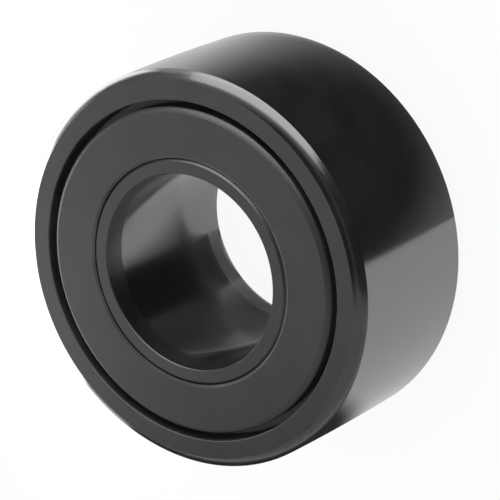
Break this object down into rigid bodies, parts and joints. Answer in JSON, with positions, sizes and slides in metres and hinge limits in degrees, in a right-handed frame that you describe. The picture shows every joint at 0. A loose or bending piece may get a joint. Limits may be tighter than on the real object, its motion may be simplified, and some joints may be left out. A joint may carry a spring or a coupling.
{
  "type": "yoke-type cam roller",
  "caption": "Thick crowned steel roller that turns on caged needle rollers round a plain inner ring, with flush end plates and a through bore for a pin.",
  "frame": {"origin": "middle of the rear face, on the bearing axis: the roller stands on that face", "axes": "+Z along the bearing axis, from the rear face to the front face that the picture shows; X and Y are across it, with the first needle roller on +X"},
  "size_m": [0.062, 0.062, 0.029],
  "materials": {
    "outer_ring_steel": "black oxide, satin",
    "inner_ring_steel": "black oxide, satin, ground bore",
    "end_plate_steel": "black oxide, satin",
    "slide_ring_polyamide": "moulded, matt",
    "cage_steel": "plain steel",
    "needle_steel": "ground and polished"
  },
  "bodies": {
    "fixed": {"inner_ring": "inner_ring_steel", "front_end_plate": "end_plate_steel", "rear_end_plate": "end_plate_steel"},
    "roller": {"outer_ring": "outer_ring_steel", "front_slide_ring": "slide_ring_polyamide", "rear_slide_ring": "slide_ring_polyamide"},
    "cage": {"needle_cage": "cage_steel"},
    "needle_01": {"needle_roller_01": "needle_steel"},
    "needle_02": {"needle_roller_02": "needle_steel"},
    "needle_03": {"needle_roller_03": "needle_steel"},
    "needle_04": {"needle_roller_04": "needle_steel"},
    "needle_05": {"needle_roller_05": "needle_steel"},
    "needle_06": {"needle_roller_06": "needle_steel"},
    "needle_07": {"needle_roller_07": "needle_steel"},
    "needle_08": {"needle_roller_08": "needle_steel"},
    "needle_09": {"needle_roller_09": "needle_steel"},
    "needle_10": {"needle_roller_10": "needle_steel"},
    "needle_11": {"needle_roller_11": "needle_steel"},
    "needle_12": {"needle_roller_12": "needle_steel"},
    "needle_13": {"needle_roller_13": "needle_steel"},
    "needle_14": {"needle_roller_14": "needle_steel"},
    "needle_15": {"needle_roller_15": "needle_steel"},
    "needle_16": {"needle_roller_16": "needle_steel"},
    "needle_17": {"needle_roller_17": "needle_steel"},
    "needle_18": {"needle_roller_18": "needle_steel"},
    "needle_19": {"needle_roller_19": "needle_steel"},
    "needle_20": {"needle_roller_20": "needle_steel"}
  },
  "joints": [
    {"name": "outer_ring_spin", "type": "hinge", "parent": "fixed", "child": "roller", "pos_m": [0, 0, 0.0145], "axis": [0, 0, 1], "continuous": true},
    {"name": "cage_spin", "type": "hinge", "parent": "fixed", "child": "cage", "pos_m": [0, 0, 0.0145], "axis": [0, 0, 1], "continuous": true},
    {"name": "needle_spin_01", "type": "hinge", "parent": "cage", "child": "needle_01", "pos_m": [0.02102, 0, 0.0145], "axis": [0, 0, 1], "continuous": true},
    {"name": "needle_spin_02", "type": "hinge", "parent": "cage", "child": "needle_02", "pos_m": [0.01999, 0.0065, 0.0145], "axis": [0, 0, 1], "continuous": true},
    {"name": "needle_spin_03", "type": "hinge", "parent": "cage", "child": "needle_03", "pos_m": [0.01701, 0.01236, 0.0145], "axis": [0, 0, 1], "continuous": true},
    {"name": "needle_spin_04", "type": "hinge", "parent": "cage", "child": "needle_04", "pos_m": [0.01236, 0.01701, 0.0145], "axis": [0, 0, 1], "continuous": true},
    {"name": "needle_spin_05", "type": "hinge", "parent": "cage", "child": "needle_05", "pos_m": [0.0065, 0.01999, 0.0145], "axis": [0, 0, 1], "continuous": true},
    {"name": "needle_spin_06", "type": "hinge", "parent": "cage", "child": "needle_06", "pos_m": [0, 0.02102, 0.0145], "axis": [0, 0, 1], "continuous": true},
    {"name": "needle_spin_07", "type": "hinge", "parent": "cage", "child": "needle_07", "pos_m": [-0.0065, 0.01999, 0.0145], "axis": [0, 0, 1], "continuous": true},
    {"name": "needle_spin_08", "type": "hinge", "parent": "cage", "child": "needle_08", "pos_m": [-0.01236, 0.01701, 0.0145], "axis": [0, 0, 1], "continuous": true},
    {"name": "needle_spin_09", "type": "hinge", "parent": "cage", "child": "needle_09", "pos_m": [-0.01701, 0.01236, 0.0145], "axis": [0, 0, 1], "continuous": true},
    {"name": "needle_spin_10", "type": "hinge", "parent": "cage", "child": "needle_10", "pos_m": [-0.01999, 0.0065, 0.0145], "axis": [0, 0, 1], "continuous": true},
    {"name": "needle_spin_11", "type": "hinge", "parent": "cage", "child": "needle_11", "pos_m": [-0.02102, 0, 0.0145], "axis": [0, 0, 1], "continuous": true},
    {"name": "needle_spin_12", "type": "hinge", "parent": "cage", "child": "needle_12", "pos_m": [-0.01999, -0.0065, 0.0145], "axis": [0, 0, 1], "continuous": true},
    {"name": "needle_spin_13", "type": "hinge", "parent": "cage", "child": "needle_13", "pos_m": [-0.01701, -0.01236, 0.0145], "axis": [0, 0, 1], "continuous": true},
    {"name": "needle_spin_14", "type": "hinge", "parent": "cage", "child": "needle_14", "pos_m": [-0.01236, -0.01701, 0.0145], "axis": [0, 0, 1], "continuous": true},
    {"name": "needle_spin_15", "type": "hinge", "parent": "cage", "child": "needle_15", "pos_m": [-0.0065, -0.01999, 0.0145], "axis": [0, 0, 1], "continuous": true},
    {"name": "needle_spin_16", "type": "hinge", "parent": "cage", "child": "needle_16", "pos_m": [0, -0.02102, 0.0145], "axis": [0, 0, 1], "continuous": true},
    {"name": "needle_spin_17", "type": "hinge", "parent": "cage", "child": "needle_17", "pos_m": [0.0065, -0.01999, 0.0145], "axis": [0, 0, 1], "continuous": true},
    {"name": "needle_spin_18", "type": "hinge", "parent": "cage", "child": "needle_18", "pos_m": [0.01236, -0.01701, 0.0145], "axis": [0, 0, 1], "continuous": true},
    {"name": "needle_spin_19", "type": "hinge", "parent": "cage", "child": "needle_19", "pos_m": [0.01701, -0.01236, 0.0145], "axis": [0, 0, 1], "continuous": true},
    {"name": "needle_spin_20", "type": "hinge", "parent": "cage", "child": "needle_20", "pos_m": [0.01999, -0.0065, 0.0145], "axis": [0, 0, 1], "continuous": true}
  ],
  "couplings": [
    {"joint": "cage_spin", "follows": "outer_ring_spin", "ratio": 0.54805},
    {"joint": "needle_spin_01", "follows": "outer_ring_spin", "ratio": 5.2065},
    {"joint": "needle_spin_02", "follows": "outer_ring_spin", "ratio": 5.2065},
    {"joint": "needle_spin_03", "follows": "outer_ring_spin", "ratio": 5.2065},
    {"joint": "needle_spin_04", "follows": "outer_ring_spin", "ratio": 5.2065},
    {"joint": "needle_spin_05", "follows": "outer_ring_spin", "ratio": 5.2065},
    {"joint": "needle_spin_06", "follows": "outer_ring_spin", "ratio": 5.2065},
    {"joint": "needle_spin_07", "follows": "outer_ring_spin", "ratio": 5.2065},
    {"joint": "needle_spin_08", "follows": "outer_ring_spin", "ratio": 5.2065},
    {"joint": "needle_spin_09", "follows": "outer_ring_spin", "ratio": 5.2065},
    {"joint": "needle_spin_10", "follows": "outer_ring_spin", "ratio": 5.2065},
    {"joint": "needle_spin_11", "follows": "outer_ring_spin", "ratio": 5.2065},
    {"joint": "needle_spin_12", "follows": "outer_ring_spin", "ratio": 5.2065},
    {"joint": "needle_spin_13", "follows": "outer_ring_spin", "ratio": 5.2065},
    {"joint": "needle_spin_14", "follows": "outer_ring_spin", "ratio": 5.2065},
    {"joint": "needle_spin_15", "follows": "outer_ring_spin", "ratio": 5.2065},
    {"joint": "needle_spin_16", "follows": "outer_ring_spin", "ratio": 5.2065},
    {"joint": "needle_spin_17", "follows": "outer_ring_spin", "ratio": 5.2065},
    {"joint": "needle_spin_18", "follows": "outer_ring_spin", "ratio": 5.2065},
    {"joint": "needle_spin_19", "follows": "outer_ring_spin", "ratio": 5.2065},
    {"joint": "needle_spin_20", "follows": "outer_ring_spin", "ratio": 5.2065}
  ]
}
